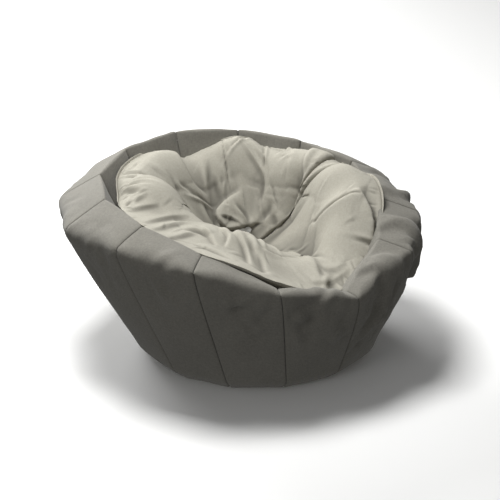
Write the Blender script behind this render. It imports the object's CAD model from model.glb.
"""Bean bag bowl chair: a faceted taupe bowl sewn from gores, with a loose cream cushion in it."""
import math

import bpy
import numpy as np
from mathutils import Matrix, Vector


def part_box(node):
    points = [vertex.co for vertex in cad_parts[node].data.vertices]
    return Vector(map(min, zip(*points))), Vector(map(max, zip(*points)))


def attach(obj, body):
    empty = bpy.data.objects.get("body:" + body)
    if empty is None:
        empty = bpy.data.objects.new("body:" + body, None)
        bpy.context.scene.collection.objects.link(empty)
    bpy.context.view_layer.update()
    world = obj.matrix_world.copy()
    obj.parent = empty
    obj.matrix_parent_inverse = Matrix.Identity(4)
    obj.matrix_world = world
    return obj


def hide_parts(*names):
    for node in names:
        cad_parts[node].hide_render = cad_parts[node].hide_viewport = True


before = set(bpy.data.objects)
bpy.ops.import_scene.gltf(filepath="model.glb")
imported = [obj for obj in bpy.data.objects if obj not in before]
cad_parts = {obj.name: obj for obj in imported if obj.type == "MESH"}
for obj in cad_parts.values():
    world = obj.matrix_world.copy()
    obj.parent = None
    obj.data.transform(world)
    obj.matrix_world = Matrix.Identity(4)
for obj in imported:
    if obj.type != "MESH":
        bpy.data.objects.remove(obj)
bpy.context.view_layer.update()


# ---- The gores ----
# The bowl is thirteen flat-cut gores of dense woven polyester, sewn side to side and pulled round by
# the beads. Each runs from the base seam up the side, over the shoulder and band, and down the inner
# wall. The two that meet at the back part along the zip.

# Along each seam the cloth turns its corners at the foot, the shoulder, the crest and the floor of
# the hollow. The rim has slumped, so each seam has its own heights, and sags outwards by its own
# measure. They are listed anticlockwise from above, from just right of the front.
gore_count = 13
rim_radius = 0.540
rim_height = 0.425
seam_lift = np.array([-43, -103, -46, -38, -8, 8, 22, 28, 18, 8, 22, 50, 32]) / 1000
crest_rise = np.array([4, 6, 26, 60, 72, 70, 74, 80, 86, 90, 80, 36, 8]) / 1000
band_width = np.array([62, 66, 100, 114, 122, 129, 129, 129, 129, 129, 129, 129, 124]) / 1000
sag = np.array([0, 10, 27, 27, 12, 0, 0, 0, 6, 12, 8, 0, 0]) / 1000
base_seam_radius, base_radius, base_roll, base_offset = 0.330, 0.366, 0.030, 0.056
floor_radius, floor_height, floor_offset = 0.285, 0.190, 0.020
cover_cloth = 0.0012
half_gore = math.pi / gore_count

zip_low, zip_high = (np.array(corner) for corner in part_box("cushion_zip_chain"))
rim_centre = (zip_low + zip_high) / 2 * (1, 1, 0) - (floor_offset, 0, 0)


def turned(radius, angle, height, offset):
    """A point at a radius and an angle from the front, towards +X, about an axis at that offset."""
    x = radius * np.sin(angle) + offset
    y = -radius * np.cos(angle)
    return np.stack(np.broadcast_arrays(x, y, height), -1) + rim_centre


def seam_corners(seam):
    """The seam's corners in space: base, foot, shoulder (where the cloth sags out), crest, floor."""
    k = seam % gore_count
    angle = (seam + 0.5) * 2 * half_gore
    shoulder = rim_height + seam_lift[k]
    corners = [
        turned(base_seam_radius, angle, 0.0, base_offset),
        turned(base_radius, angle, base_roll, base_offset),
        turned(rim_radius + sag[k], angle, shoulder, 0.0),
        turned(rim_radius - band_width[k], angle, shoulder + crest_rise[k], 0.0),
        turned(floor_radius, angle, floor_height, floor_offset),
    ]
    return np.array(corners)


def rounded_path(corners, cuts, counts):
    """A path through corners, each inner one cut back before and after it and turned on a quadratic.

    cuts gives each corner's two distances, and counts the points on each straight and then on the
    curve after it, in turn.
    """
    pieces = []
    start = corners[0]
    for i in range(1, len(corners) - 1):
        before, here, after = corners[i - 1], corners[i], corners[i + 1]
        enter = here + (before - here) * cuts[i - 1][0] / np.linalg.norm(before - here)
        leave = here + (after - here) * cuts[i - 1][1] / np.linalg.norm(after - here)
        along = np.linspace(0, 1, counts[2 * i - 2], endpoint=False)[:, None]
        pieces.append(start + (enter - start) * along)
        turn = np.linspace(0, 1, counts[2 * i - 1], endpoint=False)[:, None]
        pieces.append(enter * (1 - turn) ** 2 + here * 2 * turn * (1 - turn) + leave * turn**2)
        start = leave
    along = np.linspace(0, 1, counts[-1])[:, None]
    pieces.append(start + (corners[-1] - start) * along)
    return np.concatenate(pieces)


# Points along a gore: each straight and the curve after it, in turn. The slump of each seam, from
# nought to one, rounds its shoulder.
row_counts = [5, 8, 40, 16, 14, 8, 26]
slump = np.array([1.0, 1.0, 0.6, 0.2, 0, 0, 0, 0, 0, 0, 0, 0, 0.2])


def corner_cuts(softness, slumped):
    """How far the foot, shoulder and crest are cut back, from how soft and how slumped the rim is."""
    side = 0.030 + 0.030 * softness + 0.090 * slumped
    band = 0.030 + 0.026 * softness + 0.004 * slumped
    return [(0.016, 0.016), (side, min(band, 0.054)), (0.007, 0.007)]


row_side, row_shoulder, row_crest = np.cumsum(row_counts)[[2, 3, 5]] - 1
row_total = sum(row_counts)
row_index = np.arange(row_total)


def seam_path(seam):
    """The seam's own path from the base to the floor of the hollow, with its corners turned."""
    return rounded_path(seam_corners(seam), corner_cuts(0.0, slump[seam % gore_count]), row_counts)


def surface_normals(points):
    """Unit normals of a grid of points: the row direction crossed with the column direction."""
    across = np.gradient(points, axis=1)
    along = np.gradient(points, axis=0)
    normal = np.cross(across, along)
    return normal / np.linalg.norm(normal, axis=-1, keepdims=True)


def bell(value, centre, width):
    """A smooth bump of height one at the centre that falls away over the width."""
    return np.exp(-(((value - centre) / width) ** 2))


def smooth_step(value, low, high):
    """From nought at low to one at high, with level ends: 3t^2 - 2t^3."""
    t = np.clip((value - low) / (high - low), 0, 1)
    return t * t * (3 - 2 * t)


side_puff, band_puff, wall_puff = 0.013, 0.006, 0.005


def gore_puff(share):
    """How far the beads push a gore's middle out: a bell each for its side, band and wall."""
    side = side_puff * bell(share, 0.26, 0.17)
    band = band_puff * bell(share, 0.60, 0.06)
    wall = wall_puff * bell(share, 0.84, 0.12)
    return side + band + wall


def path_share(path):
    """The share of a path's length that each of its points has reached."""
    steps = np.linalg.norm(np.diff(path, axis=0), axis=1)
    reached = np.concatenate([[0], np.cumsum(steps)])
    return reached / reached[-1]


swell_power = 2.2
gore_side = 0.25
edge_steps = np.array([0, 0.0012, 0.0026, 0.0045, 0.0075, 0.012, 0.018, 0.026, 0.036]) / gore_side


def gore_columns(count=15):
    """Positions from -1 to 1 across a gore, crowded towards the seams."""
    left = -1 + 2 * edge_steps
    middle = np.linspace(left[-1], -left[-1], count + 2)[1:-1]
    return np.concatenate([left, middle, -left[::-1]])


def gore_surface(gore, across, depth=0.0):
    """The gore's points: each row runs straight between its two seams, then is puffed in the middle.

    The middle's own path turns its corners more softly than the seams do, and the difference is
    added in proportion to one minus a power of the distance from the middle.
    """
    left, right = seam_corners(gore - 1), seam_corners(gore)
    left_path, right_path = seam_path(gore - 1), seam_path(gore)
    soft = (slump[(gore - 1) % gore_count] + slump[gore]) / 2
    middle_path = rounded_path((left + right) / 2, corner_cuts(1.0, soft), row_counts)
    share = path_share(middle_path)
    toward = (across[None, :, None] + 1) / 2
    rows = left_path[:, None] * (1 - toward) + right_path[:, None] * toward
    swell = 1 - np.abs(across[None, :]) ** swell_power
    softer = middle_path - (left_path + right_path) / 2
    rows = rows + softer[:, None] * swell[..., None]
    lift = gore_puff(share)[:, None] * swell - depth
    return rows + surface_normals(rows) * lift[..., None]


back_seam = 6
zip_foot_margin, zip_top_margin, zip_half_slot = 0.040, 0.095, 0.005


def beside_zip():
    """For each row, whether it lies beside the zip in the back seam, eased in over a few rows."""
    path = seam_path(back_seam)
    foot, shoulder = seam_corners(back_seam)[1:3]
    up = (path - foot) @ (shoulder - foot) / np.linalg.norm(shoulder - foot)
    top = np.linalg.norm(shoulder - foot) - zip_top_margin
    outside, inside = 0.008, 0.004
    opened = smooth_step(up, zip_foot_margin - outside, zip_foot_margin + inside)
    closed = smooth_step(-up, -top - outside, -top + inside)
    return opened * closed * (row_index < row_side + 9)


def seam_normals(seam):
    """Outward normals along a seam: its sideways direction crossed with its own direction."""
    path = seam_path(seam)
    angle = (seam + 0.5) * 2 * half_gore
    sideways = np.array([math.cos(angle), math.sin(angle), 0])
    normal = np.cross(sideways, np.gradient(path, axis=0))
    return normal / np.linalg.norm(normal, axis=-1, keepdims=True)


seam_hold = 0.020
shoulder_rows = 9


def seam_gather(seam):
    """How much deeper than the rest a seam draws in where it turns the shoulder, in metres."""
    return 0.013 if seam % gore_count in (11, 12) else 0.004


def sew_in(points, across, gore, tucks, gather_reach, share=1.0):
    """Draws the cloth in along its two seams and gathers it where they turn the shoulder.

    The depth is a sum of falling exponentials of the distance from the seam, each with its own
    depth and reach, taken along the seam's own outward normal close to it, so that two
    neighbours' edges meet. It is shallow beside the zip.
    """
    own = surface_normals(points)
    width = np.linalg.norm(points[:, -1] - points[:, 0], axis=-1)
    drawn = points.copy()
    at_shoulder = bell(row_index, (row_side + row_shoulder) / 2, shoulder_rows)[:, None]
    for seam, distance in ((gore - 1, 1 + across), (gore, 1 - across)):
        reach = distance[None, :] / 2 * width[:, None]
        near = np.exp(-reach / seam_hold)[..., None]
        normal = own * (1 - near) + seam_normals(seam)[:, None] * near
        tuck = sum(depth * np.exp(-reach / fall) for depth, fall in tucks)
        if seam == back_seam:
            tuck = tuck * (1 - 0.9 * beside_zip()[:, None] * share)
        tuck = tuck + seam_gather(seam) * at_shoulder * np.exp(-reach / gather_reach)
        drawn = drawn - normal * tuck[..., None]
    return drawn


def fold_lines(points, seed, count, size, length, width, where):
    """Short straight folds of cloth, each a ridge beside a trough, scattered by a seeded generator.

    Each fold's height is its size times the first derivative of a bell across it, times a bell
    along it, measured in the surface's own flat coordinates in metres.
    """
    chance = np.random.default_rng(seed)
    flat_x, flat_y = points
    lift = np.zeros_like(flat_x)
    for _ in range(count):
        x0, y0, lean = where(chance)
        along = (flat_x - x0) * math.cos(lean) + (flat_y - y0) * math.sin(lean)
        beside = -(flat_x - x0) * math.sin(lean) + (flat_y - y0) * math.cos(lean)
        fold_length = length * chance.uniform(0.6, 1.4)
        fold_width = width * chance.uniform(0.6, 1.5)
        slope = beside / fold_width
        height = size * chance.uniform(0.3, 1.0) * chance.choice([-1, 1])
        lift += height * slope * np.exp(0.5 - slope**2 / 2) * bell(along, 0, fold_length)
    return lift


def flat_coordinates(points):
    """Flat coordinates on a grid in metres: along each row from its middle, and up the middle column."""
    steps = np.linalg.norm(np.diff(points, axis=1), axis=-1)
    across = np.concatenate([np.zeros((len(points), 1)), np.cumsum(steps, axis=1)], axis=1)
    across -= across[:, -1:] / 2
    rise = np.linalg.norm(np.diff(points[:, points.shape[1] // 2], axis=0), axis=-1)
    up = np.concatenate([[0], np.cumsum(rise)])
    return across, np.broadcast_to(up[:, None], across.shape)


def between(a, b, c, d, t):
    """A Catmull-Rom curve's points between b and c, at shares t of the way."""
    return b + 0.5 * t * (c - a + t * (2 * a - 5 * b + 4 * c - d + t * (3 * (b - c) + d - a)))


def smooth_line(corners, cuts=8):
    """A Catmull-Rom curve through corners in plan, as points."""
    ends = np.concatenate([2 * corners[:1] - corners[1:2], corners, 2 * corners[-1:] - corners[-2:-1]])
    t = np.linspace(0, 1, cuts, endpoint=False)[None, :, None]
    a, b, c, d = (ends[i : i + len(corners) - 1][:, None] for i in range(4))
    return np.concatenate([between(a, b, c, d, t).reshape(-1, 2), corners[-1:]])


def picked(values, index):
    """The entry of each row's last axis that index names."""
    return np.take_along_axis(values, index[..., None], -1)[..., 0]


def crease(x, y, line, left, right, width, reach, lean):
    """A fold along a smooth line in plan: the cloth climbs within width of it and settles over reach.

    The line and the next four measures are in millimetres. left and right are the heights on the
    two sides as one walks along the line, so like signs make a valley or a ridge and unlike signs
    a step. The raised side leans over the line by lean times its height. The fold fades towards
    both ends. Returns the height and the push in plan.
    """
    path = smooth_line(np.array(line) / 1000)
    left, right, width, reach = np.array([left, right, width, reach]) / 1000
    start, step = path[:-1], np.diff(path, axis=0)
    gap = np.stack([x, y], -1)[..., None, :] - start
    share = np.clip((gap * step).sum(-1) / (step**2).sum(-1), 0, 1)
    offset = gap - share[..., None] * step
    distance = np.linalg.norm(offset, axis=-1)
    nearest = distance.argmin(-1)
    near = picked(distance, nearest)
    length = np.linalg.norm(step, axis=-1)
    beside = picked((step[:, 0] * gap[..., 1] - step[:, 1] * gap[..., 0]) / length, nearest)
    along = (nearest + picked(share, nearest)) / len(start)
    fade = np.sin(math.pi * along.clip(0, 1)) ** 0.6
    side = 0.5 + 0.5 * np.tanh(beside / 0.002)
    height = right + (left - right) * side
    height = height * (1 - np.exp(-near / width)) * np.exp(-near / reach) * fade
    away = np.stack([picked(offset[..., k], nearest) for k in (0, 1)], -1) / (near[..., None] + 0.001)
    push = -away * (lean * height.clip(0, None) * np.exp(-near / (2 * width)))[..., None]
    return height, push


# Folds over the slumped rim: a line in plan, then left, right, width and reach, in millimetres, and
# how far the fold leans.
rim_folds = [
    ([(195, -405), (235, -440), (262, -490)], 14, -8, 8, 30, 0),
    ([(285, -370), (310, -400), (325, -440)], -8, 12, 8, 24, 0),
    ([(340, -305), (400, -285), (465, -310)], 18, -10, 8, 34, 0),
    ([(375, -240), (430, -222), (505, -240)], -10, 16, 8, 34, 0),
    ([(405, -125), (465, -90), (545, -100)], 20, -10, 8, 36, 0),
    ([(415, -35), (480, -45), (560, -5)], -10, 18, 8, 34, 0),
    ([(405, 95), (470, 105), (550, 150)], 18, -10, 8, 34, 0),
    ([(375, 185), (430, 200), (510, 225)], -8, 14, 8, 30, 0),
]

# How slack each gore's rim is; the rest are taut. Folds fade out towards the seams.
gore_slack = {12: 0.35, 0: 0.6, 1: 0.9, 2: 1.1, 3: 1.2, 4: 1.0, 5: 0.5}
taut_slack = 0.22
slumped_gores = (1, 2, 3, 4)
calm_start, calm_reach, deepest_dent = 0.115, 0.030, -0.010


def crumple_gore(points, gore):
    """Soft dents all over a gore, and sharper puckers and folds at the rim of the slumped ones.

    They fade towards the seams, where the stitching holds the cloth flat.
    """
    across, up = flat_coordinates(points)
    top = up[row_side, 0]
    length = up[-1, 0]
    slack = gore_slack.get(gore, taut_slack)

    def anywhere(chance):
        """A place on the gore and a direction, both even."""
        return chance.uniform(-0.12, 0.12), chance.uniform(0.02, length), chance.uniform(0, math.pi)

    def at_rim(chance):
        """A place near the shoulder, and a direction that mostly runs over it."""
        return chance.uniform(-0.12, 0.12), top + chance.normal(0.03, 0.05), chance.normal(1.5, 0.5)

    lift = fold_lines((across, up), 100 + gore, 14, 0.0026, 0.09, 0.030, anywhere)
    lift += fold_lines((across, up), 200 + gore, 20, 0.0100 * slack, 0.050, 0.012, at_rim)
    if gore in slumped_gores:
        x, y = points[..., 0] - rim_centre[0], points[..., 1] - rim_centre[1]
        band = (row_index > row_side - 6)[:, None] * (row_index < row_crest)[:, None]
        lift += sum(crease(x, y, *fold)[0] for fold in rim_folds) * band
        lift = lift.clip(deepest_dent, None)
    calm = 1 - np.exp(-((calm_start - np.abs(across)).clip(0) / calm_reach))
    return points + surface_normals(points) * (lift * calm)[..., None]


def grid_faces(rows, columns, wrap=False):
    """Quads over a grid of points in row order; wrap joins the last column to the first."""
    ends = columns if wrap else columns - 1
    i, j = np.meshgrid(np.arange(rows - 1), np.arange(ends), indexing="ij")
    k = (j + 1) % columns
    quads = [i * columns + j, i * columns + k, (i + 1) * columns + k, (i + 1) * columns + j]
    return np.stack(quads, -1).reshape(-1, 4)


def mesh_piece(name, points, faces, uv=None):
    """A new object from an array of points and its faces, with an optional UV for each point."""
    mesh = bpy.data.meshes.new(name)
    mesh.from_pydata(points.reshape(-1, 3).tolist(), [], [list(map(int, face)) for face in faces])
    if uv is not None:
        layer = mesh.uv_layers.new(name="cloth")
        corner = np.zeros(len(mesh.loops), dtype=np.int32)
        mesh.loops.foreach_get("vertex_index", corner)
        layer.data.foreach_set("uv", uv.reshape(-1, 2)[corner].ravel().astype(np.float32))
    mesh.shade_smooth()
    piece = bpy.data.objects.new(name, mesh)
    bpy.context.scene.collection.objects.link(piece)
    return piece


def thicken(piece, cloth):
    """Gives an open sheet its cloth's thickness, on its inner side."""
    solidify = piece.modifiers.new("cloth", "SOLIDIFY")
    solidify.thickness = cloth
    solidify.offset = -1.0
    solidify.use_rim = True
    return piece


def sheet_area(points):
    """The area of a grid of points: half the cross product of each quad's diagonals, summed."""
    one = points[1:, 1:] - points[:-1, :-1]
    other = points[1:, :-1] - points[:-1, 1:]
    return float(np.linalg.norm(np.cross(one, other), axis=-1).sum() / 2)


# The cloth is a plain weave in a heathered taupe. Threads of two shades run both ways, which reads as
# a fine speckle, and the nap lies unevenly, which reads as faint clouding.
class Number:
    """A number in a material's node tree; arithmetic on it adds Math nodes."""

    def __init__(self, paint, socket):
        """Wraps one output socket of the paint's tree."""
        self.paint = paint
        self.socket = socket

    def maths(self, operation, one, other=None):
        """A Math node on one or two values, as a new number."""
        sockets = {0: one} if other is None else {0: one, 1: other}
        node = self.paint.node("ShaderNodeMath", {"operation": operation}, sockets)
        return Number(self.paint, node.outputs[0])

    def __add__(self, other):
        return self.maths("ADD", self, other)

    def __sub__(self, other):
        return self.maths("SUBTRACT", self, other)

    def __rsub__(self, other):
        return self.maths("SUBTRACT", other, self)

    def __mul__(self, other):
        return self.maths("MULTIPLY", self, other)

    def __truediv__(self, other):
        return self.maths("DIVIDE", self, other)

    def __rtruediv__(self, other):
        return self.maths("DIVIDE", other, self)

    __radd__ = __add__
    __rmul__ = __mul__

    def wave(self):
        """The sine of the number."""
        return self.maths("SINE", self)


class Paint:
    """A material and the few ways that nodes are added to it."""

    def __init__(self, name, roughness, shine=0.5, **shader):
        """A Principled material; further words set its other sockets, with _ for each space."""
        self.material = bpy.data.materials.new(name)
        self.material.use_nodes = True
        self.tree = self.material.node_tree
        self.shader = self.tree.nodes["Principled BSDF"]
        self.shader.inputs["Roughness"].default_value = roughness
        self.shader.inputs["Specular IOR Level"].default_value = shine
        for socket, value in shader.items():
            self.shader.inputs[socket.replace("_", " ")].default_value = value

    def node(self, kind, settings=None, sockets=None):
        """A node of a kind, with its settings set first and then its sockets' values or links."""
        made = self.tree.nodes.new(kind)
        for setting, value in (settings or {}).items():
            setattr(made, setting, value)
        for socket, value in (sockets or {}).items():
            source = value.socket if isinstance(value, Number) else value
            if isinstance(source, bpy.types.NodeSocket):
                self.tree.links.new(source, made.inputs[socket])
            else:
                made.inputs[socket].default_value = source
        return made

    def number(self, node, output=0):
        """One of a node's outputs, ready for arithmetic."""
        return Number(self, node.outputs[output])

    def feed(self, socket, value):
        """Links a value to one of the shader's own sockets."""
        source = value.socket if isinstance(value, Number) else value
        self.tree.links.new(source, self.shader.inputs[socket])

    def place(self):
        """Object coordinates, in metres."""
        return self.node("ShaderNodeTexCoord").outputs["Object"]

    def noise(self, scale, detail=2.0, where=None):
        """Cloudy noise; scale is lumps to the metre."""
        sockets = {"Scale": scale, "Detail": detail, "Vector": where or self.place()}
        return self.number(self.node("ShaderNodeTexNoise", None, sockets))

    def blend(self, factor, one, other):
        """A colour between two, by a factor from nought to one."""
        node = self.node("ShaderNodeMix", {"data_type": "RGBA"}, {0: factor, 6: one, 7: other})
        return node.outputs[2]

    def bump(self, height, strength, distance):
        """Fine relief in the shading only."""
        sockets = {"Height": height, "Strength": strength, "Distance": distance}
        self.feed("Normal", self.node("ShaderNodeBump", None, sockets).outputs[0])


def woven(paint, thread):
    """A plain weave's height, two crossing sine waves multiplied, and the UV that it follows."""
    uv = paint.node("ShaderNodeUVMap", {"uv_map": "cloth"}).outputs[0]
    parts = paint.node("ShaderNodeSeparateXYZ", None, {0: uv})
    turn = math.pi / thread
    warp = (paint.number(parts, 0) * turn).wave()
    weft = (paint.number(parts, 1) * turn).wave()
    return warp * weft, uv


def heathered_cloth(name, light, dark, thread, cloud, roughness, sheen, soiled=0.0):
    """Woven cloth between two shades: speckled along its threads, and clouded over a hand's width."""
    paint = Paint(name, roughness, shine=0.2, Sheen_Weight=sheen, Sheen_Roughness=0.5)
    weave, uv = woven(paint, thread)
    along = paint.node("ShaderNodeMapping", None, {"Vector": uv, "Scale": (1.0, 0.16, 1.0)})
    over = paint.node("ShaderNodeMapping", None, {"Vector": uv, "Scale": (0.16, 1.0, 1.0)})
    slubs = paint.noise(420.0, 1.0, along.outputs[0]) + paint.noise(420.0, 1.0, over.outputs[0])
    clouds = paint.noise(9.0, 3.0)
    specks = paint.noise(160.0, 3.0)
    shade = (slubs / 2 - 0.5) * 1.1 + (specks - 0.5) * 0.9 + (clouds - 0.5) * cloud + 0.5
    colour = paint.blend(shade, dark, light)
    if soiled:
        worn = paint.node("ShaderNodeAttribute", {"attribute_name": "fold_shade"})
        grime = [channel * 0.45 for channel in dark[:3]] + [1]
        colour = paint.blend(paint.number(worn, 2) * soiled, colour, grime)
    paint.feed("Base Color", colour)
    paint.feed("Roughness", (clouds - 0.5) * 0.12 + roughness)
    paint.bump(weave + (slubs - 1.0) * 1.5, 0.35, thread * 0.35)
    return paint.material


taupe_cloth = heathered_cloth(
    "taupe_woven_polyester",
    light=(0.225, 0.215, 0.186, 1),
    dark=(0.138, 0.133, 0.115, 1),
    thread=0.0009,
    cloud=0.5,
    roughness=0.88,
    sheen=0.12,
)


def wear(piece, material, body):
    """Gives a piece its material and its record slot, and fixes it to the body it moves with."""
    piece.data.materials.append(material)
    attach(piece, body)
    return piece


# At its seams a gore's edges turn in: each tuck is a depth and the reach over which it eases off.
cover_tucks = ((0.0040, 0.0018), (0.0012, 0.010))


def part_for_zip(points, gore):
    """Moves the edge beside the zip back across the gore, so that the teeth show between the two."""
    if gore not in (back_seam, back_seam + 1):
        return points
    inner = points[:, ::-1] if gore == back_seam else points
    toward = inner[:, 12] - inner[:, 0]
    toward /= np.linalg.norm(toward, axis=-1, keepdims=True)
    reach = np.linalg.norm(inner - inner[:, :1], axis=-1)
    opened = zip_half_slot * beside_zip()[:, None] * np.exp(-reach / 0.02)
    moved = inner + toward[:, None] * opened[..., None]
    return moved[:, ::-1] if gore == back_seam else moved


gore_across = gore_columns()
gore_shapes = []
for gore in range(gore_count):
    shape = crumple_gore(gore_surface(gore, gore_across), gore)
    shape = part_for_zip(sew_in(shape, gore_across, gore, cover_tucks, 0.016), gore)
    shape[..., 2] = shape[..., 2].clip(0.0004, None)
    across, up = flat_coordinates(shape)
    faces = grid_faces(row_total, len(gore_across))
    piece = mesh_piece(f"gore_cloth_{gore + 1:02d}", shape, faces, np.stack([across, up], -1))
    thicken(piece, cover_cloth)
    wear(piece, taupe_cloth, "bowl")
    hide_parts(f"gore_{gore + 1:02d}")
    cut = (float(across.max() - across.min()), float(up.max()))
    min(sheet_area(shape), cut[0] * cut[1])
    gore_shapes.append(shape)


# ---- Base panel and floor panel ----
# Two thirteen-sided panels of the same cloth close the bowl: one lies on the floor inside the base
# seam, the other is the floor of the hollow, under the cushion. Each fills about three quarters of
# the square that it is cut from.
def ring_of_gores(row):
    """One row of points right round the bowl, taken from the gores as they were sewn."""
    return np.concatenate([shape[row, :-1] for shape in gore_shapes])


def panel_rows(ring, centre, shares):
    """Rings of points between a centre and an outer ring, at shares of the way out."""
    out = np.array(shares)[:, None, None]
    return centre + (ring - centre) * out


def closed_faces(rows, columns, low_pole, high_pole):
    """Faces round a wrapped grid, with a fan to a pole below the first row and above the last."""
    quads = grid_faces(rows, columns, wrap=True)
    j = np.arange(columns)
    k = (j + 1) % columns
    fans = []
    if low_pole:
        fans.append(np.stack([k, j, np.full(columns, rows * columns)], -1))
    if high_pole:
        top = (rows - 1) * columns
        pole = rows * columns + (1 if low_pole else 0)
        fans.append(np.stack([top + j, top + k, np.full(columns, pole)], -1))
    return quads, fans


def round_piece(name, rings, low_pole=None, high_pole=None):
    """A piece from rings of points, closed by a point below the first ring or above the last."""
    rows, columns = rings.shape[:2]
    quads, fans = closed_faces(rows, columns, low_pole is not None, high_pole is not None)
    poles = [np.reshape(pole, (1, 3)) for pole in (low_pole, high_pole) if pole is not None]
    points = np.concatenate([rings.reshape(-1, 3), *poles])
    faces = quads.tolist() + [face for fan in fans for face in fan.tolist()]
    return mesh_piece(name, points, faces, points[:, :2])


base_lift = 0.0006
base_middle = turned(0, 0, base_lift, base_offset)
base_ring = ring_of_gores(0)
base_rings = panel_rows(base_ring, base_middle, [0.06, 0.2, 0.4, 0.6, 0.8, 0.9, 0.96, 0.985, 0.997])
base_rings[:-2, :, 2] = base_lift
base_cloth = round_piece("base_cloth", base_rings[:, ::-1], low_pole=base_middle)
base_cloth.data.flip_normals()
thicken(base_cloth, cover_cloth)
wear(base_cloth, taupe_cloth, "bowl")
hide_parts("base_panel")

floor_middle = turned(0, 0, floor_height, floor_offset)
floor_rings = panel_rows(ring_of_gores(-1), floor_middle, [0.06, 0.3, 0.6, 0.85, 0.96, 0.99])
floor_cloth = round_piece("hollow_floor_cloth", floor_rings, low_pole=floor_middle)
thicken(floor_cloth, cover_cloth)
wear(floor_cloth, taupe_cloth, "bowl")
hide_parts("inner_floor_panel")


# ---- The bowl's liner and beads ----
# Inside the cover is a liner of thin white polyester, in an outer and an inner part that meet under
# the crest, and it holds the polystyrene beads.
lining_tucks = ((0.012, 0.030),)


def lining(depth, rows):
    """The cover's shape drawn in to a depth, and further in behind the seams, as rings of points."""
    across = np.linspace(-1, 1, 10)
    rings = []
    for gore in range(gore_count):
        points = gore_surface(gore, across, depth)
        points = sew_in(points, across, gore, lining_tucks, 0.035, share=0.3)
        rings.append(points[rows, :-1])
    rings = np.concatenate(rings, axis=1)
    rings[..., 2] = rings[..., 2].clip(depth, None)
    return rings


white_liner = heathered_cloth(
    "white_liner",
    light=(0.80, 0.80, 0.79, 1),
    dark=(0.70, 0.70, 0.69, 1),
    thread=0.0005,
    cloud=0.2,
    roughness=0.7,
    sheen=0.0,
)
liner_depth, bead_depth, liner_cloth = 0.015, 0.017, 0.0006
outer_rings = lining(liner_depth, slice(0, row_crest - 4))
outer_pole = turned(0, 0, liner_depth, base_offset)
outer_liner = round_piece("bowl_liner_outer_cloth", outer_rings, low_pole=outer_pole)
inner_rings = lining(liner_depth, slice(row_crest - 3, None))
inner_pole = turned(0, 0, floor_height - liner_depth, floor_offset)
inner_liner = round_piece("bowl_liner_inner_cloth", inner_rings, high_pole=inner_pole)
outer_cut, inner_cut = (3.1, 1.0), (2.4, 0.6)
for liner, node, size in (
    (outer_liner, "bowl_liner_outer", outer_cut),
    (inner_liner, "bowl_liner_inner", inner_cut),
):
    thicken(liner, liner_cloth)
    wear(liner, white_liner, "bowl")
    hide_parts(node)

foam_beads = Paint("foam_beads", 0.6)
grains = foam_beads.node(
    "ShaderNodeTexVoronoi", {"feature": "F1"}, {"Vector": foam_beads.place(), "Scale": 240.0}
)
grain = foam_beads.number(grains)
foam_beads.feed("Base Color", foam_beads.blend(grain * 1.2, (0.9, 0.9, 0.9, 1), (0.6, 0.6, 0.6, 1)))
foam_beads.bump(1 - grain, 0.8, 0.002)
bowl_beads = round_piece(
    "bowl_beads",
    lining(bead_depth, slice(0, None)),
    low_pole=turned(0, 0, bead_depth, base_offset),
    high_pole=turned(0, 0, floor_height - bead_depth, floor_offset),
)
wear(bowl_beads, foam_beads.material, "bowl")
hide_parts("bowl_bead_fill")


# ---- The cushion ----
# A round pouch of cream cotton, sewn from a top and a bottom panel and loosely filled with beads,
# is pressed into the bowl. Its edge rides up the wall to the crest, and the top's slack gathers
# into folds that run down to the hollow. The edge lists go round from the front, towards +X.
hollow = np.array([0.01, 0.12, 0.275])
edge_radius = np.array(
    [428, 436, 436, 431, 426, 421, 428, 424, 403, 400, 393, 391]
    + [388, 384, 380, 386, 383, 370, 352, 358, 370, 381, 398, 416]
) / 1000
edge_height = np.array(
    [432, 378, 331, 301, 312, 360, 442, 478, 458, 476, 458, 462]
    + [498, 470, 442, 492, 494, 486, 470, 480, 490, 487, 474, 459]
) / 1000
underside_radius = 0.250
underside_height = floor_height + 0.012
pouch_cells = 110
cushion_cloth, slip_cloth = 0.0008, 0.0005
rim_puff = 0.018
seat_middle = math.radians(-20)


def round_trip(values, angle):
    """Values listed at even angles from the front, joined by a closed Catmull-Rom curve."""
    place = np.mod(angle / (2 * math.pi), 1) * len(values)
    first = np.floor(place).astype(int)
    t = place - first
    return between(*(values[(first + i) % len(values)] for i in (-1, 0, 1, 2)), t)


def disc_grid(cells):
    """A square grid bent onto a disc: x = a sqrt(1 - b^2/2), y = b sqrt(1 - a^2/2), as radius and angle."""
    a, b = np.meshgrid(np.linspace(-1, 1, cells + 1), np.linspace(-1, 1, cells + 1))
    x = a * np.sqrt(1 - b * b / 2)
    y = b * np.sqrt(1 - a * a / 2)
    return np.hypot(x, y).clip(0, 1), np.arctan2(x, -y)


def lump(x, y, centre, height, radii, turn=0.0):
    """A rounded swelling: height times a bell over an ellipse turned by an angle in degrees."""
    c, s = math.cos(math.radians(turn)), math.sin(math.radians(turn))
    along = ((x - centre[0]) * c + (y - centre[1]) * s) / radii[0]
    beside = (-(x - centre[0]) * s + (y - centre[1]) * c) / radii[1]
    return height * np.exp(-(along**2) - beside**2)


# Each lump in the top is a centre in plan, a height, its ellipse's two radii and its turn.
top_lumps = [
    ((0.040, -0.140), 0.046, (0.190, 0.085), -6),
    ((-0.200, -0.010), 0.030, (0.140, 0.055), -20),
    ((0.310, -0.060), 0.030, (0.075, 0.090), 10),
    ((-0.150, 0.270), 0.014, (0.120, 0.060), -40),
    ((0.100, 0.150), -0.030, (0.130, 0.050), 18),
    ((0.160, 0.190), -0.034, (0.070, 0.045), 15),
    ((0.140, 0.290), 0.014, (0.080, 0.045), 0),
    ((0.290, 0.120), 0.012, (0.060, 0.050), 0),
]
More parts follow.
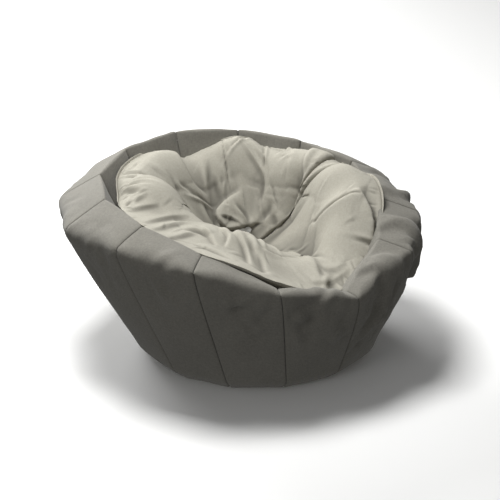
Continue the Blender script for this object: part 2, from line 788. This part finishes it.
# Each fold in the top is written as the rim's folds are.
top_folds = [
    # The left arm's edge, the valley behind it, and the swag that hangs from the dip in the rim.
    ([(-300, 85), (-240, 62), (-190, 52), (-140, 50), (-80, 62)], -22, 42, 5, 50, 0.8),
    ([(-230, 130), (-180, 150), (-130, 130), (-85, 90)], 8, -6, 6, 30, 0.4),
    ([(-205, 310), (-175, 250), (-140, 218), (-85, 228)], -9, 14, 5, 35, 0.6),
    # The back's upright crease, its long S fold and the deep pinch above the hollow.
    ([(-50, 375), (-44, 320), (-36, 285), (-22, 245)], 10, 12, 4, 20, 0.2),
    ([(-20, 360), (25, 315), (55, 292), (82, 262), (80, 240), (62, 232)], 12, -9, 5, 20, 0.5),
    ([(10, 370), (52, 325), (92, 285), (98, 245)], 10, -8, 5, 18, 0.5),
    ([(12, 250), (-30, 236), (-62, 212), (-70, 188), (-44, 170)], 30, -4, 5, 34, 0.7),
    ([(-66, 182), (-36, 170), (0, 180), (40, 192), (80, 200)], 22, -4, 5, 28, 0.6),
    ([(98, 262), (112, 240), (124, 218)], 9, 9, 5, 14, 0.2),
    # The two long valleys from the back corner down to the hollow, and the notch between them.
    ([(310, 270), (262, 225), (220, 208), (165, 200), (110, 180), (60, 150)], 40, 56, 9, 55, 0.5),
    ([(360, 175), (312, 155), (272, 160), (225, 178), (180, 185)], 26, 34, 6, 34, 0.5),
    ([(298, 335), (318, 270), (338, 205)], -24, -24, 10, 20, 0),
    ([(252, 330), (220, 270), (208, 232), (230, 200)], 10, -10, 6, 24, 0.4),
    ([(130, 350), (165, 300), (155, 250)], 8, -8, 8, 28, 0.3),
    # The right arm tucked under the edge of its own flap.
    ([(215, 50), (255, 28), (300, 16), (345, 18), (372, 10)], 20, 24, 4, 35, 0.3),
    ([(362, 40), (385, -10), (400, -50), (403, -110)], -16, 28, 5, 30, 0.5),
    ([(362, -222), (380, -185), (391, -145), (384, -115)], -12, -12, 7, 16, 0),
    ([(330, -170), (342, -205), (352, -240)], 10, 12, 4, 14, 0.2),
    # The seat's soft edges.
    ([(215, -300), (257, -285), (295, -243), (330, -200)], 9, -9, 10, 28, 0.3),
    ([(218, -110), (250, -190), (288, -206), (322, -165)], 8, -8, 10, 26, 0.3),
    ([(140, -35), (187, -66), (223, -137), (236, -200), (245, -310)], -8, 12, 9, 36, 0.5),
    ([(-180, -110), (-130, -88), (-85, -76), (-45, -88), (-8, -115)], -16, 16, 5, 30, 0.7),
    ([(-20, -125), (12, -90), (60, -52), (125, -45), (165, -66), (205, -110)], -30, 24, 5, 45, 0.9),
    # Crumpled cloth where the left arm meets the seat.
    ([(-115, -110), (-85, -160), (-60, -230)], 12, -10, 4, 20, 0.4),
    ([(-55, -85), (-28, -150), (-36, -225)], 14, -10, 4, 18, 0.4),
    ([(-12, -110), (24, -200), (36, -310)], 16, -12, 5, 22, 0.4),
    ([(28, -125), (66, -225), (83, -335)], 10, -12, 6, 24, 0.4),
    ([(-160, -160), (-110, -140), (-80, -165)], 10, -8, 4, 18, 0.4),
    ([(-120, -260), (-60, -290), (-10, -340)], 8, -8, 5, 20, 0.4),
    # Pleats on the left arm.
    ([(-355, 117), (-290, 98), (-220, 105)], 9, -8, 5, 22, 0.3),
    ([(-330, -100), (-295, -62), (-265, -30)], 8, -7, 5, 18, 0.3),
    ([(-320, -150), (-278, -92), (-230, -50)], 9, -8, 5, 20, 0.3),
    ([(-270, -220), (-208, -100), (-140, -40)], 9, -8, 5, 20, 0.3),
    ([(-245, -270), (-180, -130), (-110, -85)], 9, -8, 5, 20, 0.3),
    ([(-205, -310), (-150, -200), (-120, -160)], 8, -7, 5, 18, 0.3),
]


def pouch_edge(angle):
    """The seam round the pouch's edge, as points at the angles."""
    return turned(round_trip(edge_radius, angle), angle, round_trip(edge_height, angle), 0.0)


def pouch_top(radius, angle):
    """The top panel before it settles: a rise from the hollow to the edge, a puffed rim and lumps."""
    edge = pouch_edge(angle)
    centre = hollow + rim_centre
    points = centre + (edge - centre) * radius[..., None]
    level = smooth_step(np.cos(angle - seat_middle), 0.35, 0.85)
    rise = smooth_step(radius, 0.12, 0.86) * (1 - level) + radius**0.9 * level
    points[..., 2] = hollow[2] + (edge[..., 2] - hollow[2]) * rise
    puff = rim_puff * (1 - 0.9 * level)
    points[..., 2] += puff * np.sin(math.pi * ((1 - radius) / 0.42).clip(0, 1)) ** 0.6
    x, y = points[..., 0] - rim_centre[0], points[..., 1] - rim_centre[1]
    lift = sum(lump(x, y, *each) for each in top_lumps)
    fade = smooth_step(1 - radius, 0.0, 0.05)
    return points + surface_normals(points) * (lift * fade)[..., None]


thinnest = underside_height + 0.050
above_ease = 0.014


def above(height, least):
    """Heights kept above a least one, eased in: half the sum and the root of squared difference."""
    return (height + least + np.sqrt((height - least) ** 2 + above_ease**2)) / 2


def fold_top(points, radius):
    """Lays the large folds into the top panel: each lifts it along its normal and leans it over."""
    x, y = points[..., 0] - rim_centre[0], points[..., 1] - rim_centre[1]
    lift = np.zeros_like(x)
    push = np.zeros_like(points)
    for fold in top_folds:
        height, lean = crease(x, y, *fold)
        lift += height
        push[..., :2] += lean
    fade = smooth_step(1 - radius, 0.0, 0.05)[..., None]
    folded = points + (surface_normals(points) * lift[..., None] + push) * fade
    folded[..., 2] = above(folded[..., 2], thinnest)
    return folded


def wrinkle_top(points, radius, angle):
    """Small creases all over the top, most of them running in towards the hollow, and edge puckers."""
    flat_x, flat_y = 0.5 * radius * np.sin(angle), -0.5 * radius * np.cos(angle)

    def scattered(low, high, spread):
        """Places on the disc between two shares of its radius, aimed at the hollow give or take."""

        def where(chance):
            """One place and its direction."""
            r = 0.5 * math.sqrt(chance.uniform(low**2, high**2))
            turn = chance.uniform(0, 2 * math.pi)
            return r * math.sin(turn), -r * math.cos(turn), turn - math.pi / 2 + chance.normal(0, spread)

        return where

    flat = (flat_x, flat_y)
    lift = fold_lines(flat, 11, 48, 0.0055, 0.045, 0.0080, scattered(0.1, 0.95, 0.6))
    lift += fold_lines(flat, 12, 50, 0.0026, 0.022, 0.0045, scattered(0.1, 0.98, 0.9))
    lift += fold_lines(flat, 13, 90, 0.0022, 0.016, 0.0045, scattered(0.93, 1.0, 0.25))
    fade = smooth_step(1 - radius, 0.0, 0.03)
    return points + surface_normals(points) * (lift * fade)[..., None]


def averaged(grid, reach):
    """A grid's running mean over a square of twice reach plus one cells, with its ends repeated."""
    for _ in range(2):
        ends = np.concatenate([grid[:1]] * reach + [grid] + [grid[-1:]] * reach)
        total = np.cumsum(np.concatenate([np.zeros_like(ends[:1]), ends]), axis=0)
        grid = np.swapaxes((total[2 * reach + 1 :] - total[: -2 * reach - 1]) / (2 * reach + 1), 0, 1)
    return grid


def hollowness(points):
    """How far each point lies below the mean round it, over a finger, a hand and a forearm."""
    normal = surface_normals(points)
    near = ((averaged(points, 3) - points) * normal).sum(-1)
    far = ((averaged(points, 12) - points) * normal).sum(-1)
    deep = (averaged(points, 32) - points)[..., 2].clip(0, None)
    return (near / 0.0035 + far / 0.016 + deep / 0.040).clip(0, 1.6) / 1.6


def finer(grid):
    """Twice as many cells: new points by the four-point rule, nine sixteenths less one sixteenth."""
    for _ in range(2):
        ends = np.concatenate([2 * grid[:1] - grid[1:2], grid, 2 * grid[-1:] - grid[-2:-1]])
        middle = (9 * (ends[1:-2] + ends[2:-1]) - ends[:-3] - ends[3:]) / 16
        mixed = np.empty((2 * len(grid) - 1, *grid.shape[1:]))
        mixed[::2], mixed[1::2] = grid, middle
        grid = np.swapaxes(mixed, 0, 1)
    return grid


def pouch_bottom(radius, angle):
    """The bottom panel: from the edge down beside the bowl's wall, round a knee, and level inside."""
    edge = pouch_edge(angle)
    knee = turned(underside_radius, angle, underside_height, floor_offset)
    middle = np.array([floor_offset, 0, underside_height]) + rim_centre
    down = smooth_step(radius, 0.30, 0.66)[..., None]
    inner = middle + (knee - middle) * (radius[..., None] / 0.55)
    outer = knee + (edge - knee) * ((radius[..., None] - 0.55) / 0.45)
    return inner * (1 - down) + outer * down


def settle(name, points, faces, rest, hold, frames, pressure, furthest):
    """Settles a closed pouch by cloth simulation: beads press outwards, and slack cloth buckles.

    rest is the shape that the cloth was cut to, and hold how firmly each point keeps its place.
    No point ends further from its start than furthest.
    """
    mesh = bpy.data.meshes.new(name)
    mesh.from_pydata(points.tolist(), [], faces.tolist())
    pouch = bpy.data.objects.new(name, mesh)
    bpy.context.scene.collection.objects.link(pouch)
    pouch.shape_key_add(name="Basis")
    cut = pouch.shape_key_add(name="cut")
    cut.data.foreach_set("co", rest.ravel())
    group = pouch.vertex_groups.new(name="hold")
    for level in range(1, 21):
        group.add(np.flatnonzero(np.round(hold * 20) == level).tolist(), level / 20, "REPLACE")
    cloth = pouch.modifiers.new("cloth", "CLOTH")
    cloth.settings.quality = 4
    cloth.settings.mass = 0.3
    cloth.settings.tension_stiffness = 20
    cloth.settings.compression_stiffness = 20
    cloth.settings.shear_stiffness = 8
    cloth.settings.bending_stiffness = 0.08
    cloth.settings.use_pressure = True
    cloth.settings.uniform_pressure_force = pressure
    cloth.settings.vertex_group_mass = "hold"
    cloth.settings.pin_stiffness = 1.0
    cloth.settings.rest_shape_key = cut
    cloth.settings.effector_weights.gravity = 0
    cloth.collision_settings.use_collision = False
    for step in range(1, frames + 1):
        bpy.context.scene.frame_set(step)
    evaluated = pouch.evaluated_get(bpy.context.evaluated_depsgraph_get())
    settled = np.zeros(len(points) * 3)
    evaluated.data.vertices.foreach_get("co", settled)
    bpy.data.objects.remove(pouch)
    bpy.context.scene.frame_set(1)
    move = settled.reshape(-1, 3) - points
    length = np.linalg.norm(move, axis=1, keepdims=True).clip(1e-9)
    return points + move * np.tanh(length / furthest) * furthest / length


pouch_radius, pouch_angle = disc_grid(pouch_cells)
top_start = pouch_top(pouch_radius, pouch_angle)
bottom_start = pouch_bottom(pouch_radius, pouch_angle)
pouch_side = pouch_cells + 1
cell_count = pouch_side**2
on_edge = pouch_radius.ravel() > 0.9999
bottom_index = np.arange(cell_count) + cell_count
bottom_index[on_edge] = np.flatnonzero(on_edge)
square_faces = grid_faces(pouch_side, pouch_side)
pouch_faces = np.concatenate([square_faces, bottom_index[square_faces][:, ::-1]])
used, packed_faces = np.unique(pouch_faces, return_inverse=True)
packed_faces = packed_faces.reshape(-1, 4)
pouch_start = np.concatenate([top_start.reshape(-1, 3), bottom_start.reshape(-1, 3)])
pouch_reach = np.concatenate([pouch_radius.ravel(), pouch_radius.ravel()])
is_top = np.arange(2 * cell_count) < cell_count
slack = 1 + np.where(is_top, 0.20, 0.02) * smooth_step(pouch_reach, 0.1, 0.9)
pouch_cut = (pouch_start - hollow) * np.stack([slack, slack, 2 - slack], -1) + hollow
pouch_hold = np.where(is_top, 0.15 + 0.55 * smooth_step(pouch_reach, 0.93, 1.0), 0.8)
pouch_done = settle(
    "pouch",
    pouch_start[used],
    packed_faces,
    pouch_cut[used],
    pouch_hold[used],
    frames=26,
    pressure=1.0,
    furthest=0.040,
)
pouch_full = pouch_start.copy()
pouch_full[used] = pouch_done
pouch_full[cell_count:][on_edge] = pouch_full[:cell_count][on_edge]
top_grid = pouch_full[:cell_count].reshape(pouch_side, pouch_side, 3)
fine_radius, fine_angle = disc_grid(2 * pouch_cells)
fine_top = wrinkle_top(fold_top(finer(top_grid), fine_radius), fine_radius, fine_angle)
top_grid = fine_top[::2, ::2]
bottom_grid = pouch_full[cell_count:].reshape(pouch_side, pouch_side, 3)


def disc_uv(radius, angle, size):
    """Flat coordinates on a round cut of cloth, in metres."""
    return np.stack([radius * np.sin(angle), -radius * np.cos(angle)], -1) * size


cream_cotton = heathered_cloth(
    "cream_cotton",
    light=(0.375, 0.360, 0.308, 1),
    dark=(0.295, 0.280, 0.234, 1),
    thread=0.0006,
    cloud=0.6,
    roughness=0.93,
    sheen=0.05,
    soiled=0.95,
)


def subdivide(piece):
    """Smooths a piece's facets with one round of subdivision."""
    smoother = piece.modifiers.new("smooth", "SUBSURF")
    smoother.levels = 1
    smoother.render_levels = 1


cushion_top = mesh_piece(
    "cushion_top_cloth",
    fine_top,
    grid_faces(2 * pouch_cells + 1, 2 * pouch_cells + 1),
    disc_uv(fine_radius, fine_angle, 0.53),
)
shade = cushion_top.data.attributes.new("fold_shade", "FLOAT", "POINT")
shade.data.foreach_set("value", hollowness(fine_top).ravel().astype(np.float32))
thicken(cushion_top, cushion_cloth)
wear(cushion_top, cream_cotton, "cushion")
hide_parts("cushion_top_panel")

middle_row = pouch_cells // 2
for name, rows in (("front", slice(0, middle_row + 1)), ("rear", slice(middle_row, None))):
    half = bottom_grid[rows][:, ::-1]
    uv = disc_uv(pouch_radius, pouch_angle, 0.5)[rows][:, ::-1]
    piece = mesh_piece(f"cushion_bottom_cloth_{name}", half, grid_faces(*half.shape[:2]), uv)
    subdivide(piece)
    thicken(piece, cushion_cloth)
    wear(piece, cream_cotton, "cushion")
    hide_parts(f"cushion_bottom_panel_{name}")
    area = sheet_area(half)


def inside_pouch(top_depth, bottom_depth, cells, size):
    """The pouch's two panels drawn inwards by a depth, on a slightly smaller disc that they share.

    Each point is read from its panel at size times its place. It is then moved by the depth, or by
    a share of the gap where that is less: straight down or up in the middle of the pouch, and
    towards the facing point near the edge.
    """
    place = (np.linspace(-size, size, cells + 1) + 1) / 2 * pouch_cells
    low = np.floor(place).astype(int)
    part = (place - low)[:, None]

    def read(grid):
        """The panel's points at the places, each mixed from the four round it."""
        rows = grid[low] * (1 - part[..., None]) + grid[low + 1] * part[..., None]
        return rows[:, low] * (1 - part[None]) + rows[:, low + 1] * part[None]

    top, bottom = read(top_grid), read(bottom_grid)
    across = bottom - top
    gap = np.linalg.norm(across, axis=-1, keepdims=True)
    radius, _ = disc_grid(cells)
    middle_share = smooth_step(1 - radius, 0.06, 0.40)[..., None]
    down = across / gap * (1 - middle_share) + np.array([0, 0, -1.0]) * middle_share
    join = (radius > 0.9999)[..., None]
    inner_top = top + down * np.minimum(top_depth, gap * 0.6)
    inner_bottom = bottom - down * np.minimum(bottom_depth, gap * 0.3)
    middle = (top + bottom) / 2
    return np.where(join, middle, inner_top), np.where(join, middle, inner_bottom)


inner_side = 57
inner_faces = grid_faces(inner_side, inner_side)
liner_top_grid, liner_bottom_grid = inside_pouch(0.024, 0.005, inner_side - 1, 0.985)
for name, grid, flip in (("top", liner_top_grid, False), ("bottom", liner_bottom_grid, True)):
    faces = inner_faces[:, ::-1] if flip else inner_faces
    liner = mesh_piece(f"cushion_liner_{name}_cloth", grid, faces)
    thicken(liner, slip_cloth)
    wear(liner, white_liner, "cushion")
    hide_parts(f"cushion_liner_{name}")
    min(sheet_area(grid), 1.3)
bead_top, bead_bottom = inside_pouch(0.030, 0.011, inner_side - 1, 0.975)
bead_join = disc_grid(inner_side - 1)[0].ravel() > 0.9999
bead_lower = np.arange(inner_side**2) + inner_side**2
bead_lower[bead_join] = np.flatnonzero(bead_join)
bead_faces = np.concatenate([inner_faces, bead_lower[inner_faces][:, ::-1]])
bead_points = np.concatenate([bead_top.reshape(-1, 3), bead_bottom.reshape(-1, 3)])
bead_used, bead_packed = np.unique(bead_faces, return_inverse=True)
cushion_beads = mesh_piece("cushion_beads", bead_points[bead_used], bead_packed.reshape(-1, 4))
wear(cushion_beads, foam_beads.material, "cushion")
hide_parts("cushion_bead_fill")


# ---- The cushion's edge ----
# The two panels are joined by a seam whose turned edges stand up as a narrow flange all round,
# with a line of stitches along its middle.
flange_width, flange_thick = 0.009, 0.0022
stitch_step, stitch_length, thread_thick = 0.0045, 0.0032, 0.0007


def closed_loop(points, count):
    """Points at even steps along a closed line of points."""
    ends = np.concatenate([points, points[:1]])
    reached = np.concatenate([[0], np.cumsum(np.linalg.norm(np.diff(ends, axis=0), axis=1))])
    steps = np.linspace(0, reached[-1], count, endpoint=False)
    return np.stack([np.interp(steps, reached, ends[:, k]) for k in range(3)], -1), reached[-1]


def tube_faces(rows, columns):
    """Quads round a tube whose rows and columns both close on themselves."""
    i, j = np.meshgrid(np.arange(rows), np.arange(columns), indexing="ij")
    n, k = (i + 1) % rows, (j + 1) % columns
    quads = [i * columns + j, i * columns + k, n * columns + k, n * columns + j]
    return np.stack(quads, -1).reshape(-1, 4)


loop_count = 900
edge_order = np.argsort(pouch_angle.ravel()[on_edge])
edge_line, edge_length = closed_loop(top_grid.reshape(-1, 3)[on_edge][edge_order], loop_count)
edge_ahead = np.roll(edge_line, -1, axis=0) - np.roll(edge_line, 1, axis=0)
edge_ahead /= np.linalg.norm(edge_ahead, axis=1, keepdims=True)
edge_flat = edge_ahead * np.array([1, 1, 0])
edge_out = np.stack([edge_flat[:, 1], -edge_flat[:, 0], 0 * edge_flat[:, 0]], -1)
edge_out /= np.linalg.norm(edge_out, axis=1, keepdims=True)
flange_up = edge_out * 0.35 + np.array([0, 0, 0.9])
flange_up -= edge_ahead * (flange_up * edge_ahead).sum(-1, keepdims=True)
flange_up /= np.linalg.norm(flange_up, axis=1, keepdims=True)
flange_side = np.cross(flange_up, edge_ahead)
flange_profile = np.array(
    [(-0.5, -0.35), (-0.5, 0.40), (-0.34, 0.47), (-0.34, 0.53), (-0.5, 0.60), (-0.42, 0.94), (0, 1.0)]
    + [(0.42, 0.94), (0.5, 0.60), (0.34, 0.53), (0.34, 0.47), (0.5, 0.40), (0.5, -0.35)]
)
flange_profile = flange_profile * (flange_thick, flange_width)
ripple = np.random.default_rng(5).normal(0, 1, 150)
ripple = round_trip(ripple, np.linspace(0, 2 * math.pi, loop_count, endpoint=False)) * 0.0008
flange = edge_line[:, None] + flange_side[:, None] * flange_profile[None, :, :1]
flange = flange + flange_up[:, None] * flange_profile[None, :, 1:]
flange = flange + flange_side[:, None] * (ripple[:, None] * flange_profile[:, 1] / flange_width)[..., None]
flange_uv = np.stack(np.broadcast_arrays(*np.ogrid[0 : edge_length : 900j, 0:0.022:13j]), -1)
edge_flange = mesh_piece("cushion_edge_flange", flange, tube_faces(loop_count, 13)[:, ::-1], flange_uv)
wear(edge_flange, cream_cotton, "cushion")


def stitches(name, line, ahead, outward, length, thick):
    """Short bowed threads along a line: each a tube of four sides whose middle stands proud."""
    share = np.linspace(-0.5, 0.5, 5)
    turn = np.linspace(0, 2 * math.pi, 4, endpoint=False)
    bow = thick * (1 - (2 * share) ** 2)
    girth = thick / 2 * np.sqrt(1.02 - (2 * share) ** 2).clip(0.15, 1)
    sideways = np.cross(ahead, outward)
    spine = line[:, None] + ahead[:, None] * (share * length)[None, :, None]
    spine = spine + outward[:, None] * bow[None, :, None]
    ring = sideways[:, None, None] * np.cos(turn)[None, None, :, None]
    ring = ring + outward[:, None, None] * np.sin(turn)[None, None, :, None]
    points = spine[:, :, None] + ring * girth[None, :, None, None]
    one = grid_faces(5, 4, wrap=True)
    one = np.concatenate([one, [[3, 2, 1, 0]], [[16, 17, 18, 19]]])
    faces = one[None] + (np.arange(len(line)) * 20)[:, None, None]
    return mesh_piece(name, points, faces.reshape(-1, 4))


cream_thread = Paint("cream_thread", 0.7)
fray = cream_thread.noise(900.0, 1.0)
cream_thread.feed("Base Color", cream_thread.blend(fray, (0.40, 0.38, 0.32, 1), (0.56, 0.54, 0.47, 1)))
picked_rows = np.arange(0, loop_count, loop_count / (edge_length / stitch_step)).astype(int)
for side, name in ((1, "inner"), (-1, "outer")):
    place = edge_line + flange_up * flange_width * 0.5 + flange_side * side * flange_thick * 0.36
    row = stitches(
        f"cushion_edge_stitches_{name}",
        place[picked_rows],
        edge_ahead[picked_rows],
        flange_side[picked_rows] * side,
        stitch_length,
        thread_thick,
    )
    wear(row, cream_thread.material, "cushion")
min(sheet_area(fine_top), 1.43)


# ---- Zips ----
# A nylon coil zip closes the bowl's back seam and another crosses the cushion's underside. Each has
# two woven tapes whose inner edges carry a coil, and the coils mesh along the middle.
tape_half_width, tape_thickness = 0.014, 0.0008
coil_half_width, coil_height, coil_pitch = 0.003, 0.0014, 0.0016


def zip_pieces(name, foot, along, across, outward, length, body, node, material):
    """The tapes and the coil: flat strips either side, and ridges that alternate between the sides."""
    along, across, outward = (np.array(v) / np.linalg.norm(v) for v in (along, across, outward))
    rows = 60
    steps = np.linspace(0, length, rows)
    tapes = []
    for side in (-1, 1):
        spread = np.array([0.0008, 0.0030, 0.0060, 0.0100, 0.0132, 0.0140]) * side
        rib = np.array([0.0, 0.0, 0.0002, 0.0, 0.0002, 0.0])
        strip = foot + along * steps[:, None, None] + across * spread[None, :, None]
        strip = strip + outward * rib[None, :, None]
        tapes.append(strip if side > 0 else strip[:, ::-1])
    points = np.concatenate([strip.reshape(-1, 3) for strip in tapes])
    one = grid_faces(rows, 6)
    flat = np.stack([np.tile(np.arange(6) * 0.0026, rows), np.repeat(steps, 6)], -1)
    tape = mesh_piece(
        f"{name}_tapes", points, np.concatenate([one, one + rows * 6]), np.concatenate([flat, flat])
    )
    thicken(tape, tape_thickness)
    teeth = int(length / coil_pitch)
    turn = np.linspace(0, 2 * math.pi, 10, endpoint=False)
    place = np.linspace(0, teeth * math.pi, teeth * 6 + 1)
    lean = np.sin(place)[:, None]
    x = np.cos(turn)[None] * coil_half_width * (1 + 0.12 * lean * np.cos(turn)[None])
    z = np.sin(turn)[None] * coil_height / 2 * (1 + 0.35 * np.abs(lean)) + coil_height * 0.35
    y = np.broadcast_to((place / math.pi * coil_pitch)[:, None], x.shape)
    y = y + 0.25 * coil_pitch * np.cos(turn)[None] * np.ones_like(x)
    coil = foot + along * y[..., None] + across * x[..., None] + outward * z[..., None]
    ends = coil.mean(axis=1)
    shell = round_piece(f"{name}_coil", coil[:, ::-1], low_pole=ends[0], high_pole=ends[-1])
    wear(tape, material, body)
    wear(shell, nylon_coil.material, body)
    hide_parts(node)


nylon_coil = Paint("nylon_coil", 0.38)
dye = nylon_coil.noise(60.0, 2.0)
nylon_coil.feed("Base Color", nylon_coil.blend(dye, (0.10, 0.095, 0.08, 1), (0.16, 0.15, 0.13, 1)))

back_foot, back_shoulder = seam_corners(back_seam)[1:3]
back_along = (back_shoulder - back_foot) / np.linalg.norm(back_shoulder - back_foot)
back_out = np.array([0, back_along[2], -back_along[1]])
back_out = back_out / np.linalg.norm(back_out)
back_length = np.linalg.norm(back_shoulder - back_foot) - zip_foot_margin - zip_top_margin
zip_pieces(
    "bowl_zip",
    back_foot + back_along * zip_foot_margin - back_out * 0.0022,
    back_along,
    np.cross(back_along, back_out),
    back_out,
    back_length,
    "bowl",
    "bowl_zip_chain",
    taupe_cloth,
)
zip_middle = (zip_low + zip_high) / 2
zip_pieces(
    "cushion_zip",
    np.array([zip_low[0] + 0.001, zip_middle[1], zip_high[2] - 0.0004]),
    (1, 0, 0),
    (0, 1, 0),
    (0, 0, -1),
    zip_high[0] - zip_low[0] - 0.002,
    "cushion",
    "cushion_zip_chain",
    cream_cotton,
)

# The sliders and the pull are cast zinc, plated and worn bright along their edges.
zinc = Paint("plated_zinc", 0.35, Metallic=1.0)
wear_marks = zinc.noise(180.0, 3.0)
zinc.feed("Base Color", zinc.blend(wear_marks, (0.34, 0.34, 0.35, 1), (0.62, 0.61, 0.60, 1)))
zinc.feed("Roughness", wear_marks * 0.3 + 0.2)
zinc.bump(zinc.noise(700.0, 2.0), 0.15, 0.0002)
for node in ("bowl_zip_slider", "bowl_zip_pull", "cushion_zip_slider"):
    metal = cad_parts[node]
    metal.data.materials.clear()
    metal.data.materials.append(zinc.material)


# ---- Stage ----
# The chair stands on a pale floor. A soft light hangs over it, a wide one glows from behind on the
# left, and a weak one fills the front.
floor = mesh_piece(
    "floor",
    np.array([[-6, -6, 0], [6, -6, 0], [6, 6, 0], [-6, 6, 0]], dtype=float),
    np.array([[0, 1, 2, 3]]),
)
floor_paint = Paint("pale_floor", 0.9)
floor_paint.shader.inputs["Base Color"].default_value = (0.86, 0.86, 0.85, 1)
floor.data.materials.append(floor_paint.material)
floor.visible_diffuse = False
floor.visible_glossy = False

world = bpy.data.worlds.new("studio")
world.use_nodes = True
world.node_tree.nodes["Background"].inputs[0].default_value = (1, 1, 1, 1)
world.node_tree.nodes["Background"].inputs[1].default_value = 0.21
bpy.context.scene.world = world


def soft_light(name, place, aim, size, power):
    """A square soft light at a place, turned towards another."""
    lamp = bpy.data.lights.new(name, "AREA")
    lamp.shape = "SQUARE"
    lamp.size = size
    lamp.energy = power
    light = bpy.data.objects.new(name, lamp)
    light.location = place
    light.rotation_euler = (Vector(aim) - Vector(place)).to_track_quat("-Z", "Y").to_euler()
    bpy.context.scene.collection.objects.link(light)


soft_light("overhead", (-0.6, 0.3, 3.0), (0, 0, 0.3), 1.1, 112)
soft_light("back_glow", (-2.2, 3.6, 1.9), (0, 0, 0.4), 2.4, 190)
soft_light("front_fill", (-1.6, -3.0, 1.6), (0, 0, 0.3), 1.6, 14)

# It is seen from a little above its low front, from far enough off that it hardly tapers.
view_elevation = math.radians(24.0)
view_distance = 9.0
view_aim = Vector((0.036, -0.024, 0.304))
view_lens = 218.0

view_direction = Vector((0, math.cos(view_elevation), -math.sin(view_elevation)))
view_camera = bpy.data.objects.new("view_camera", bpy.data.cameras.new("view_camera"))
view_camera.data.lens = view_lens
view_camera.data.sensor_width = 36.0
view_camera.data.clip_end = 40.0
view_camera.location = view_aim - view_direction * view_distance
view_camera.rotation_euler = (math.pi / 2 - view_elevation, 0, 0)
bpy.context.scene.collection.objects.link(view_camera)
bpy.context.scene.camera = view_camera
bpy.context.scene.view_settings.view_transform = "Standard"
